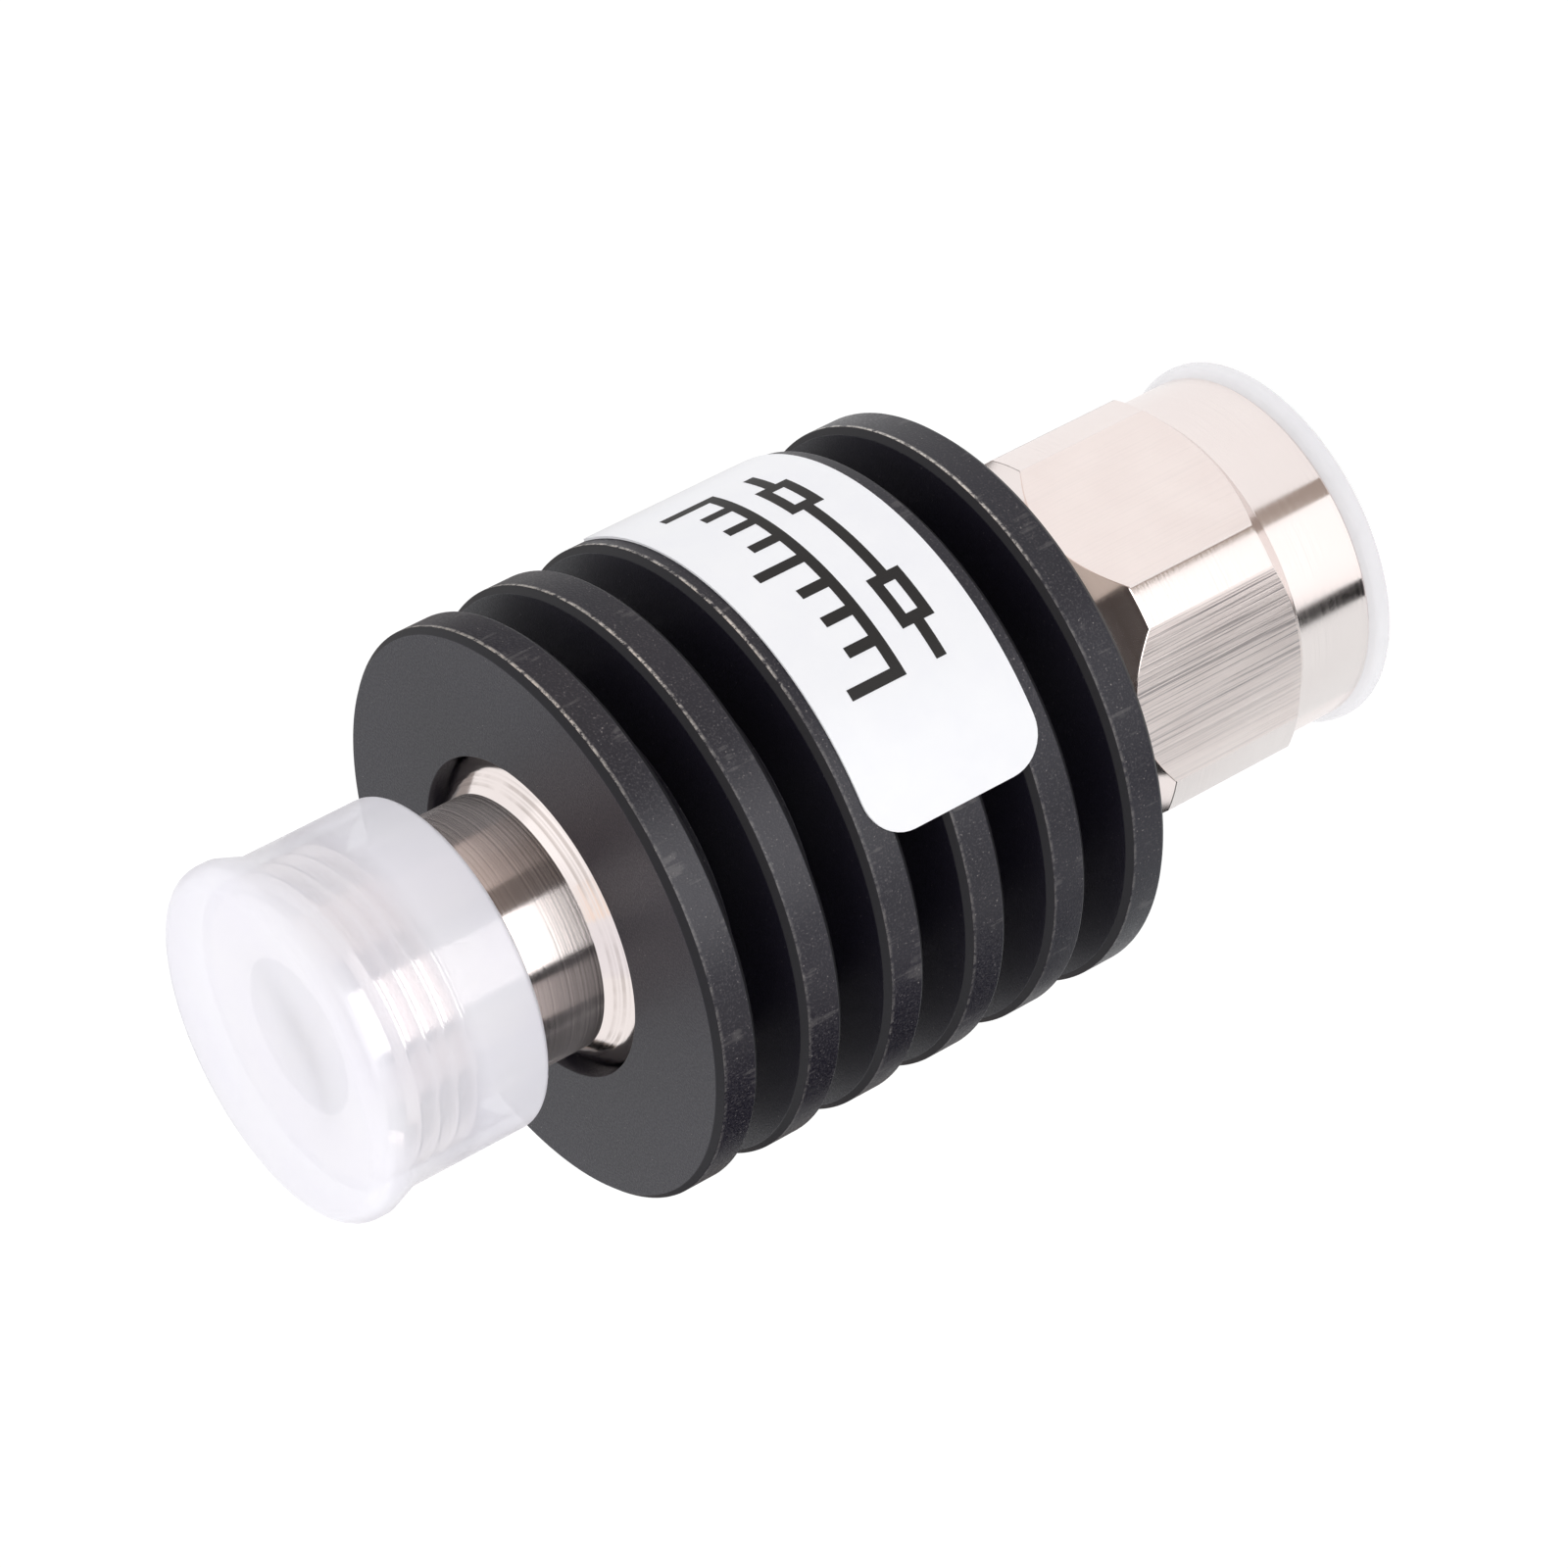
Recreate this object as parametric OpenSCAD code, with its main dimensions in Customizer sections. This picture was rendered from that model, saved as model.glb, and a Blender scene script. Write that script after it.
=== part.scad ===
// Fixed coaxial attenuator: a finned aluminium heat sink between a threaded socket connector and a
// plug connector with a loose coupling nut, with a soft plastic dust cap on each connector.
// Millimetres. +Z runs along the connector axis from the plug to the socket, and the part stands at
// z = 0 on the flat flange of the plug's dust cap.

/* [Heat sink] */
// Outside diameter of the fins
fin_d = 30; // [28:0.5:40]
// Number of fins
fin_count = 6; // [6:1:9]
// Distance from one fin to the next
fin_pitch = 4.95; // [4.8:0.05:6]
// Thickness of a fin
fin_t = 2.4; // [2:0.1:3]
// Chamfer on the rim of a fin
fin_chamfer = 0.3; // [0.1:0.05:0.5]
// Diameter at the bottom of the grooves
root_d = 20; // [19:0.5:24]
// Bore that holds the connectors and the carrier
sink_bore_d = 14; // [13.6:0.1:15]
// Diameter of the recess in each end face
recess_d = 16.8; // [16.7:0.1:18]
// Depth of the recess in each end face
recess_h = 2.6; // [2.2:0.1:2.8]

/* [Label] */
// Width of the label along the axis
label_w = 10.3; // [8:0.1:12]
// Length of the label round the fins
label_len = 28; // [18:0.5:34]
// Corner radius of the label
label_corner = 2.2; // [0.8:0.1:3.5]
// Thickness of the label
label_t = 0.12; // [0.08:0.01:0.3]
// Direction that the middle of the label faces, in degrees
label_turn = -90; // [-180:1:180]
// Fin that the label is centred on, counted from the socket end
label_fin = 4; // [3:1:4]

/* [Coaxial line] */
// Bore of the outer conductor
line_d = 7; // [6.6:0.05:7.4]
// Diameter of the centre conductor
conductor_d = 3.04; // [2.8:0.02:3.3]
// Diameter of the insulating beads
bead_d = 8.4; // [8:0.1:9.5]
// Thickness of the insulating beads
bead_t = 2; // [1.5:0.1:3]
// Neck of the centre conductor inside a bead
bead_neck_d = 2.2; // [1.8:0.1:2.6]
// How far a mating connector enters
mate_depth = 9.1; // [8.5:0.1:9.4]

/* [Socket connector] */
// Outside diameter of the thread
thread_d = 15.8; // [15.2:0.05:16.2]
// Length of the threaded end
thread_len = 5.4; // [4.5:0.1:7]
// Chamfer at the front of the thread
thread_chamfer = 0.5; // [0.2:0.05:0.8]
// Diameter of the plain barrel behind the thread
barrel_d = 13.4; // [12.4:0.1:14]
// Length of the plain barrel
barrel_len = 7.4; // [6:0.1:10]
// Across the flats of the hexagon in the recess
hex_af = 15.6; // [15:0.1:16]
// Diameter over the rounded corners of that hexagon, and of both collars
hex_d = 16.4; // [16:0.1:16.5]
// Height of the hexagon, with its chamfer
hex_h = 1.8; // [1.6:0.1:2.2]
// Height of the hexagon's chamfer
hex_chamfer_h = 1.5; // [0.4:0.1:1.7]
// Turn of the hexagon, in degrees
hex_turn = 25; // [-30:1:30]
// Bore that takes the mating sleeve
socket_bore_d = 8.1; // [8.06:0.02:8.4]
// How far the contact stops short of the front rim
contact_recess = 4.4; // [4.2:0.1:5.5]
// Hole in the contact
contact_hole_d = 1.66; // [1.5:0.02:1.9]
// Depth of the hole in the contact
contact_hole_h = 5; // [4.5:0.1:6]
// Width of the slots in the contact
contact_slot_w = 0.3; // [0.2:0.05:0.4]
// Depth of the slots in the contact
contact_slot_h = 4.2; // [3:0.1:4.4]

/* [Plug connector] */
// Across the flats of the coupling nut
nut_af = 19.4; // [19:0.1:20.2]
// Diameter over the rounded corners of the coupling nut
nut_d = 21.2; // [20.6:0.1:22.2]
// Length of the nut's corner strips between the chamfers
nut_strip_len = 7.9; // [7.5:0.1:10]
// Length of the long chamfer at the back of the nut
nut_back_len = 3.6; // [3.2:0.1:4.5]
// Diameter of the nut's back face
nut_back_d = 17; // [16:0.1:18]
// Outside diameter of the round ring at the nut's mouth
ring_d = 18.8; // [18:0.1:19]
// Length of that ring
ring_len = 4.6; // [3.8:0.1:6]
// Bore of the nut's thread
nut_bore_d = 14.85; // [14.6:0.05:15.2]
// Length of the nut's thread, with its countersunk mouth
nut_thread_len = 9.4; // [8:0.1:9.6]
// Countersink at the nut's mouth
nut_mouth_chamfer = 0.6; // [0.3:0.1:1]
// Room round the snap ring in the turned relief behind the nut's thread
nut_relief_gap = 0.7; // [0.5:0.1:1]
// Thickness of the lip at the back of the nut
lip_t = 2.7; // [2:0.1:3]
// Turn of the nut at rest, in degrees
nut_turn = -7; // [-30:1:30]
// Space between the nut and the heat sink
nut_gap = 0.9; // [0.5:0.1:2]
// Neck of the plug's body inside the nut
neck_d = 12.4; // [11.8:0.1:12.8]
// Groove for the snap ring in that neck
snap_groove_d = 11.4; // [11:0.1:11.6]
// Outside diameter of the snap ring
snap_d = 14.4; // [13.6:0.1:15]
// Thickness of the snap ring
snap_t = 1; // [0.6:0.1:1.2]
// Arc that the snap ring covers, in degrees
snap_arc = 325; // [300:5:345]
// Outside diameter of the sleeve
sleeve_d = 8; // [7.9:0.02:8.04]
// How far the sleeve stops short of the nut's mouth
sleeve_recess = 1.1; // [0.6:0.1:1.3]
// Diameter of the pin's tip
pin_d = 1.64; // [1.5:0.02:1.7]
// Length of the pin's tip
pin_len = 5; // [4:0.1:5.5]
// Length of the point on the pin
pin_point_len = 0.8; // [0.4:0.1:1.2]
// How far the pin stops short of the sleeve's end
pin_recess = 0.3; // [0.1:0.1:1]
// Outside diameter of the sealing gasket
gasket_d = 13.8; // [12.6:0.1:14.4]
// Thickness of the sealing gasket
gasket_t = 1.5; // [1:0.1:1.8]
// How far the gasket is squeezed by a mating connector
gasket_squeeze = 0.2; // [0.1:0.05:0.4]

/* [Connector seats] */
// Length of each connector's spigot inside the heat sink
spigot_len = 5.2; // [3.5:0.1:5.4]
// Thickness of the round collar at the bottom of each recess
collar_t = 1.3; // [1:0.1:2.1]
// Broken edge on the sleeve, the contacts and the nut's ring
edge_break = 0.2; // [0.1:0.05:0.3]

/* [Attenuator chip] */
// Width of the ceramic chip
chip_w = 9; // [7:0.5:10]
// Length of the ceramic chip
chip_len = 9; // [6:0.5:9]
// Thickness of the ceramic chip
chip_t = 0.64; // [0.4:0.02:1]
// Diameter of the channel over the chip
channel_d = 6; // [4:0.1:6.6]
// Width of the contact tabs
tab_w = 1.2; // [0.8:0.1:2]
// Thickness of the contact tabs
tab_t = 0.15; // [0.1:0.01:0.3]
// How far a tab reaches over the chip
tab_reach = 1.4; // [0.8:0.1:2]
// How far a tab reaches into its conductor
tab_hold = 0.8; // [0.4:0.1:0.9]

/* [Dust caps] */
// Outside diameter of the socket cap's wall
cap_d = 17.4; // [17:0.1:18]
// Length of the socket cap
cap_len = 10; // [7.5:0.1:11.5]
// Thickness of the socket cap's end
cap_end_t = 1.7; // [0.8:0.1:2.4]
// Diameter of the lip at the closed end of the socket cap
cap_lip_d = 18.5; // [18.2:0.1:20]
// Length of that lip, without its flare
cap_lip_len = 1.5; // [1.2:0.1:2.4]
// Rounding of that lip's outer edge
cap_lip_round = 1; // [0.4:0.1:1.2]
// Length of the flare from the wall to the lip
cap_flare_len = 1.5; // [0.8:0.1:2.5]
// Diameter of the dished middle of the socket cap's end
cap_dish_d = 9.4; // [5:0.1:11]
// Depth of the dished middle
cap_dish_h = 0.5; // [0.2:0.05:0.8]
// Width of the slope into the dished middle
cap_dish_slope_w = 1.4; // [0.6:0.1:2]
// Diameter of the plug cap's flange
flange_d = 19.8; // [19.2:0.1:22]
// Thickness of the plug cap's flange
flange_t = 0.9; // [0.8:0.1:2]
// Length of the plug cap's skirt inside the nut
skirt_len = 6; // [4:0.1:7.5]
// Thickness of the plug cap's skirt
skirt_t = 0.8; // [0.5:0.1:1.2]
// Rounding of the cap edges
cap_round = 0.35; // [0.2:0.05:0.45]

/* [Fits] */
// Gap between faces that seat on each other across a joint
seat_gap = 0.05; // [0.02:0.01:0.1]
// Gap round pieces that are pushed together and stay
push_gap = 0.02; // [0.01:0.01:0.05]
// Gap round pieces that slide or turn
run_gap = 0.08; // [0.05:0.01:0.1]

/* [Hidden] */

$fn = 96;
// Length by which a cut runs past the face that it opens
over = 1;
// How much larger than the label's corner its arc is
label_corner_swell = 1.015;

// Heights of the coupling nut and the heat sink
nut_z = flange_t + seat_gap;
nut_ring_top_z = nut_z + ring_len;
nut_strip_z = nut_ring_top_z + (nut_d - ring_d) / 2;
nut_back_z = nut_strip_z + nut_strip_len;
nut_top_z = nut_back_z + nut_back_len;
lip_z = nut_top_z - lip_t;
sink_z = nut_top_z + nut_gap;
sink_top_z = sink_z + (fin_count - 1) * fin_pitch + fin_t;
plug_seat_z = sink_z + recess_h;
socket_seat_z = sink_top_z - recess_h;
plug_end_z = plug_seat_z + spigot_len;
socket_end_z = socket_seat_z - spigot_len;

// Heights inside the plug connector
sleeve_z = nut_z + sleeve_recess;
pin_z = sleeve_z + pin_recess;
gasket_z = sleeve_z + mate_depth - gasket_squeeze;
neck_z = gasket_z + gasket_t + push_gap;
snap_z = lip_z - seat_gap - snap_t;

// Heights of the socket connector
hex_z = socket_seat_z + collar_t;
hex_top_z = hex_z + hex_h;
thread_z = hex_top_z + barrel_len;
rim_z = thread_z + thread_len;
mate_z = rim_z - mate_depth;
contact_top_z = rim_z - contact_recess;

// Carrier and chip, midway between the two spigots
spigot_d = sink_bore_d - 2 * push_gap;
carrier_z = plug_end_z + push_gap;
carrier_top_z = socket_end_z - push_gap;
chip_z = (carrier_z + carrier_top_z - chip_len) / 2;
chip_top_z = chip_z + chip_len;
plug_contact_end_z = chip_z - push_gap;
socket_contact_end_z = chip_top_z + push_gap;

// Dust caps
cap_bore_d = thread_d + 2 * run_gap;
cap_end_z = rim_z + seat_gap;
cap_top_z = cap_end_z + cap_end_t;
cap_z = cap_top_z - cap_len;
skirt_d = nut_bore_d - 2 * run_gap;

// Points of an arc about a centre, from one angle to another
function arc(centre, radius, from, to, steps = 6) =
    [for (i = [0:steps])
        let (turn = from + (to - from) * i / steps) centre + radius * [cos(turn), sin(turn)]];

// A turned piece, given by its outline of radius against height
module turned(outline) {
    rotate_extrude() polygon(outline);
}

// A straight round rod, or the cutter for a hole, along the axis
module rod(d, z0, z1) {
    translate([0, 0, z0]) cylinder(d = d, h = z1 - z0);
}

// A flat ring along the axis
module ring(outer_d, inner_d, z0, z1) {
    difference() {
        rod(outer_d, z0, z1);
        rod(inner_d, z0 - over, z1 + over);
    }
}

// A hexagonal prism, given by its width across the flats
module hexagon(af, z0, z1) {
    translate([0, 0, z0]) cylinder(d = af / cos(30), h = z1 - z0, $fn = 6);
}

// What milling six flats takes off a round bar, upwards from a height
module flats_cut(af, z0, z1) {
    difference() {
        rod(2 * af, z0, z1 + over);
        hexagon(af, z0 - over, z1 + 2 * over);
    }
}

// A round disc with both edges of its rim chamfered
module fin() {
    r = fin_d / 2;
    turned([[0, 0], [r - fin_chamfer, 0], [r, fin_chamfer], [r, fin_t - fin_chamfer],
            [r - fin_chamfer, fin_t], [0, fin_t]]);
}

module heat_sink() {
    color("#232224")
    difference() {
        union() {
            rod(root_d, sink_z, sink_top_z);
            for (i = [0:fin_count - 1])
                translate([0, 0, sink_z + i * fin_pitch]) fin();
        }
        rod(sink_bore_d, sink_z - over, sink_top_z + over);
        rod(recess_d, sink_z - over, plug_seat_z);
        rod(recess_d, socket_seat_z, sink_top_z + over);
    }
}

// What a rounded corner of the label leaves out: the part of a square outside a quarter circle.
// The circle is a little larger than the corner, so that its arc crosses both edges instead of
// running into them. side is which way round the fins the corner lies, and end which way along the axis.
module label_corner_cut(side, end) {
    reach = 2 * label_corner;
    rotate([90, 0, 90])
    linear_extrude(height = 4 * over, center = true)
    difference() {
        translate([side > 0 ? 0 : -reach, end > 0 ? 0 : -reach]) square(reach);
        circle(r = label_corner * label_corner_swell);
    }
}

// A sticker bent round the rims of three fins
module label() {
    r = fin_d / 2 + push_gap;
    half_turn = label_len / 2 / r * 180 / PI;
    corner_turn = label_corner / r * 180 / PI;
    mid_z = sink_top_z - (label_fin - 1) * fin_pitch - fin_t / 2;
    color("white")
    rotate([0, 0, label_turn])
    difference() {
        rotate([0, 0, -half_turn])
        rotate_extrude(angle = 2 * half_turn)
            translate([r, mid_z - label_w / 2]) square([label_t, label_w]);
        for (side = [-1, 1], end = [-1, 1])
            rotate([0, 0, side * (half_turn - corner_turn)])
            translate([r, 0, mid_z + end * (label_w / 2 - label_corner)])
                label_corner_cut(side, end);
    }
}

// Threaded body of the socket: spigot, collar, chamfered hexagon, plain barrel and threaded end
module socket_shell() {
    thread_r = thread_d / 2;
    barrel_r = barrel_d / 2;
    hex_r = hex_d / 2;
    step = thread_r - barrel_r;
    color("#c9c5c0")
    difference() {
        union() {
            rod(spigot_d, socket_end_z, socket_seat_z);
            difference() {
                turned([[0, socket_seat_z], [hex_r, socket_seat_z], [hex_r, hex_top_z - hex_chamfer_h],
                        [barrel_r, hex_top_z], [0, hex_top_z]]);
                rotate([0, 0, hex_turn]) flats_cut(hex_af, hex_z, hex_top_z);
            }
            turned([[0, hex_z], [barrel_r, hex_z], [barrel_r, thread_z],
                    [thread_r, thread_z + step / 2], [thread_r, rim_z - thread_chamfer],
                    [thread_r - thread_chamfer, rim_z], [0, rim_z]]);
        }
        rod(line_d, socket_end_z - over, rim_z);
        rod(socket_bore_d, mate_z, rim_z + over);
        rod(bead_d, socket_end_z - over, socket_end_z + bead_t);
    }
}

// Centre conductor of the socket, bored and slotted at its tip
module socket_contact() {
    r = conductor_d / 2;
    neck_r = bead_neck_d / 2;
    color("#d8b45a")
    difference() {
        turned([[0, socket_contact_end_z], [r, socket_contact_end_z],
                [r, socket_end_z - push_gap], [neck_r, socket_end_z - push_gap],
                [neck_r, socket_end_z + bead_t], [r, socket_end_z + bead_t],
                [r, contact_top_z - edge_break], [r - edge_break, contact_top_z], [0, contact_top_z]]);
        rod(contact_hole_d, contact_top_z - contact_hole_h, contact_top_z + over);
        for (turn = [0, 90])
            rotate([0, 0, turn])
            translate([-conductor_d, -contact_slot_w / 2, contact_top_z - contact_slot_h])
                cube([2 * conductor_d, contact_slot_w, contact_slot_h + over]);
        translate([-conductor_d, 0, socket_contact_end_z - over])
            cube([2 * conductor_d, tab_t + 2 * push_gap, tab_hold + over]);
    }
}

module socket_bead() {
    color("#f2f1ec")
    ring(bead_d - 2 * push_gap, bead_neck_d + 2 * push_gap, socket_end_z, socket_end_z + bead_t - push_gap);
}

// Soft cap over the threaded end, with a flared lip round its closed end
module socket_cap() {
    bore_r = cap_bore_d / 2;
    wall_r = cap_d / 2;
    lip_r = cap_lip_d / 2;
    dish_r = cap_dish_d / 2;
    lip_z = cap_top_z - cap_lip_len;
    color("#e9e6f2", 0.6)
    turned(concat(
        [[bore_r, cap_z]],
        arc([wall_r - cap_round, cap_z + cap_round], cap_round, -90, 0),
        [[wall_r, lip_z - cap_flare_len], [lip_r, lip_z]],
        arc([lip_r - cap_lip_round, cap_top_z - cap_lip_round], cap_lip_round, 0, 90),
        [[dish_r, cap_top_z], [dish_r - cap_dish_slope_w, cap_top_z - cap_dish_h],
         [0, cap_top_z - cap_dish_h], [0, cap_end_z], [bore_r, cap_end_z]]));
}

// Body of the plug: thin sleeve, neck with the snap ring's groove, collar and spigot
module plug_shell() {
    neck_r = neck_d / 2;
    sleeve_r = sleeve_d / 2;
    color("#c9c5c0")
    difference() {
        union() {
            turned([[0, sleeve_z], [sleeve_r - edge_break, sleeve_z], [sleeve_r, sleeve_z + edge_break],
                    [sleeve_r, neck_z], [neck_r, neck_z], [neck_r, plug_seat_z], [0, plug_seat_z]]);
            rod(hex_d, plug_seat_z - collar_t, plug_seat_z);
            rod(spigot_d, plug_seat_z, plug_end_z);
        }
        rod(line_d, sleeve_z - over, plug_end_z + over);
        rod(bead_d, plug_end_z - bead_t, plug_end_z + over);
        ring(neck_d + over, snap_groove_d, snap_z - push_gap, snap_z + snap_t + push_gap);
    }
}

// Centre conductor of the plug, with its pin
module plug_contact() {
    r = conductor_d / 2;
    neck_r = bead_neck_d / 2;
    pin_r = pin_d / 2;
    pin_top_z = pin_z + pin_len;
    color("#d8b45a")
    difference() {
        turned([[0, pin_z], [pin_r / 2, pin_z], [pin_r, pin_z + pin_point_len], [pin_r, pin_top_z],
                [r - edge_break, pin_top_z], [r, pin_top_z + edge_break], [r, plug_end_z - bead_t],
                [neck_r, plug_end_z - bead_t], [neck_r, plug_end_z + push_gap],
                [r, plug_end_z + push_gap], [r, plug_contact_end_z], [0, plug_contact_end_z]]);
        translate([-conductor_d, 0, plug_contact_end_z - tab_hold])
            cube([2 * conductor_d, tab_t + 2 * push_gap, tab_hold + over]);
    }
}

module plug_bead() {
    color("#f2f1ec")
    ring(bead_d - 2 * push_gap, bead_neck_d + 2 * push_gap, plug_end_z - bead_t + push_gap, plug_end_z);
}

// Coupling nut: hexagon on round bar, chamfered at both ends, with a plain ring at the mouth
module coupling_nut() {
    mouth_r = nut_bore_d / 2 + nut_mouth_chamfer;
    ring_r = ring_d / 2;
    thread_top_z = nut_z + nut_thread_len;
    color("#cfc6c0")
    rotate([0, 0, nut_turn])
    difference() {
        intersection() {
            turned([[0, nut_z], [ring_r - edge_break, nut_z], [ring_r, nut_z + edge_break],
                    [ring_r, nut_ring_top_z], [nut_d / 2, nut_strip_z], [nut_d / 2, nut_back_z],
                    [nut_back_d / 2, nut_top_z], [0, nut_top_z]]);
            hexagon(nut_af, nut_z - over, nut_top_z + over);
        }
        turned([[0, nut_z - over], [mouth_r + over, nut_z - over],
                [nut_bore_d / 2, nut_z + nut_mouth_chamfer], [0, nut_z + nut_mouth_chamfer]]);
        rod(nut_bore_d, nut_z, thread_top_z);
        rod(snap_d + 2 * nut_relief_gap, thread_top_z, lip_z);
        rod(neck_d + 2 * run_gap, nut_z, nut_top_z + over);
    }
}

// Split ring that holds the nut on the plug's neck
module snap_ring() {
    inner_r = snap_groove_d / 2 + push_gap;
    color("#b9bcc0")
    rotate([0, 0, -snap_arc / 2])
    rotate_extrude(angle = snap_arc)
        translate([inner_r, snap_z]) square([snap_d / 2 - inner_r, snap_t]);
}

module gasket() {
    color("#b5402f")
    ring(gasket_d, sleeve_d + 2 * push_gap, gasket_z, gasket_z + gasket_t);
}

// Soft plug pushed into the coupling nut: a flat flange with a thin skirt
module plug_cap() {
    flange_r = flange_d / 2;
    skirt_r = skirt_d / 2;
    skirt_top_z = flange_t + skirt_len;
    color("#e9e6f2", 0.6)
    turned(concat(
        [[0, 0]],
        arc([flange_r - cap_round, cap_round], cap_round, -90, 0),
        arc([flange_r - cap_round, flange_t - cap_round], cap_round, 0, 90),
        [[skirt_r, flange_t], [skirt_r, skirt_top_z - edge_break], [skirt_r - edge_break, skirt_top_z],
         [skirt_r - skirt_t, skirt_top_z], [skirt_r - skirt_t, flange_t], [0, flange_t]]));
}

// Half of the round carrier: below the split for side -1, above it for side 1
module carrier_half(side) {
    intersection() {
        rod(spigot_d, carrier_z, carrier_top_z);
        translate([-sink_bore_d, side > 0 ? push_gap : -sink_bore_d, carrier_z - over])
            cube([2 * sink_bore_d, sink_bore_d, carrier_top_z - carrier_z + 2 * over]);
    }
}

// Lower half of the carrier: a pocket for the chip, and a way in for each conductor
module carrier_base() {
    pocket_w = chip_w + 2 * push_gap;
    color("#c8a24a")
    difference() {
        carrier_half(-1);
        translate([-pocket_w / 2, -chip_t - push_gap, chip_z - push_gap])
            cube([pocket_w, chip_t + over, chip_len + 2 * push_gap]);
        rod(channel_d, carrier_z - over, chip_z);
        rod(channel_d, chip_top_z, carrier_top_z + over);
    }
}

// Upper half of the carrier, with a channel over the chip from end to end
module carrier_cover() {
    color("#c8a24a")
    difference() {
        carrier_half(1);
        rod(channel_d, carrier_z - over, carrier_top_z + over);
    }
}

module attenuator_chip() {
    color("#e6e2d8")
    translate([-chip_w / 2, -chip_t, chip_z]) cube([chip_w, chip_t, chip_len]);
}

// Thin strip from a conductor's slot to the chip, between two heights
module tab(z0, z1) {
    color("#d8b45a")
    translate([-tab_w / 2, push_gap, z0]) cube([tab_w, tab_t, z1 - z0]);
}

module socket_tab() {
    tab(chip_top_z - tab_reach, socket_contact_end_z + tab_hold - push_gap);
}

module plug_tab() {
    tab(plug_contact_end_z - tab_hold + push_gap, chip_z + tab_reach);
}

heat_sink();
label();
socket_shell();
socket_contact();
socket_bead();
socket_cap();
plug_shell();
plug_contact();
plug_bead();
coupling_nut();
snap_ring();
gasket();
plug_cap();
carrier_base();
carrier_cover();
attenuator_chip();
socket_tab();
plug_tab();
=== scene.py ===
"""Looks of a fixed coaxial attenuator with a finned heat sink, on a plain pale floor.

The named sizes are in millimetres, and every finished mesh is in metres, in the frame of the solids.
The pieces' heights and the largest radii come from the frame.
"""
import math

import bmesh
import bpy
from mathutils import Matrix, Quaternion, Vector

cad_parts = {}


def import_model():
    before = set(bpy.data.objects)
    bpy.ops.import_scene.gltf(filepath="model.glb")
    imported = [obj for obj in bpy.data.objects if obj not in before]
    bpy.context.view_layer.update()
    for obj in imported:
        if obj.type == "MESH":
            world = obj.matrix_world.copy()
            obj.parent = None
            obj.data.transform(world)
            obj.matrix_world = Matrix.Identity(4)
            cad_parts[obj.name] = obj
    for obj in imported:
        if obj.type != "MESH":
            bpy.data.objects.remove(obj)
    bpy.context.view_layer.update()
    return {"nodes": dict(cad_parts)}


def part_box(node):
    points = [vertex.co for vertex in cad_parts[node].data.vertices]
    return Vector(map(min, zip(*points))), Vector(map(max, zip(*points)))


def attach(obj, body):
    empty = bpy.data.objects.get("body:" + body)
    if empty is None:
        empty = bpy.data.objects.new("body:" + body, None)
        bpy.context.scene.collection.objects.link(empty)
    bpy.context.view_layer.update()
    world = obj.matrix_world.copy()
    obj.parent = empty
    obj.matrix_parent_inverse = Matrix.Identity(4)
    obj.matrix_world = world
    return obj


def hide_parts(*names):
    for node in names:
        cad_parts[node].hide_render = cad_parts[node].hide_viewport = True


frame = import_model()

MM = 0.001
# Segments of a full turn, for pieces and for threads
TURN_STEPS = 192
THREAD_STEPS = 96
# Small radius on every sharp metal edge, its facets, and the angle from which an edge counts as sharp
EDGE_ROUND = 0.05
EDGE_STEPS = 2
SHARP_ANGLE = math.radians(25)
# Points closer than this are one: in turned shapes, in cuts through them and in cuts through the label
WELD = 1e-4
FLAT_CUT = 1e-5
CELL_CUT = 1e-6
# A face is a chamfer if the upright share of its normal lies between these
CHAMFER_LEAN = (0.1, 0.9)
# Places in a piece's list of materials: the fins' chamfers, a hexagon's flats and its turned chamfers
FIN_CHAMFER_INDEX = 1
FLAT_INDEX = 1
HEX_CHAMFER_INDEX = 2


def span(node):
    """Lowest height, highest height and largest radius along X of a CAD node, in millimetres."""
    low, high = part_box(node)
    return low.z / MM, high.z / MM, high.x / MM


SINK_Z0, SINK_Z1, FIN_R = span("heat_sink")
NUT_Z0, NUT_Z1, _ = span("coupling_nut")
SHELL_Z0, RIM_Z, _ = span("socket_shell")
CAP_Z0, CAP_Z1, CAP_LIP_R = span("socket_cap")
FLANGE_Z0, SKIRT_Z1, FLANGE_R = span("plug_cap")
LABEL_Z0, LABEL_Z1, _ = span("label")

# Heat sink
FIN_COUNT = 6
FIN_T = 2.4
FIN_PITCH = (SINK_Z1 - SINK_Z0 - FIN_T) / (FIN_COUNT - 1)
FIN_CHAMFER = 0.3
ROOT_R = 10
SINK_BORE_R = 7
RECESS_R = 8.4
RECESS_H = 2.6
# Marks on the rims, each from where there is none to where it is full: depth under the rim, distance from
# the worn edge, and angle from the middle of the side where the wear is painted strongest, as highlight
RIM_MARKS = (0.1, 0.02)
EDGE_WEAR = (0.2, 0.08)
WEAR_AND_HIGHLIGHT_TURN = math.radians(-74)
SIDE_WEAR_AND_HIGHLIGHT = (math.radians(44), math.radians(22))

# Label: a film on the rims, with plain print
LABEL_LEN = 28
LABEL_CORNER = 2.2
LABEL_CORNER_STEPS = 10
LABEL_T = 0.12
LABEL_GAP = 0.02
LABEL_TURN = math.radians(-90)
LABEL_CELL = 0.5
PRINT_T = 0.012
STROKE = 0.6
PRINT_START = -7.4
PRINT_END = 8.1
PAD_ROW_Z = 28.1
PAD_STARTS = (-5.4, 3.2)
PAD_LEN = 3
PAD_H = 1.9
TICK_ROW_Z = 30.8
TICK_COUNT = 9
TICK_STEP = 1.87
TICK_H = 1.5
LONG_TICK_H = 2.6
LONG_TICK_EVERY = 4

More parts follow.
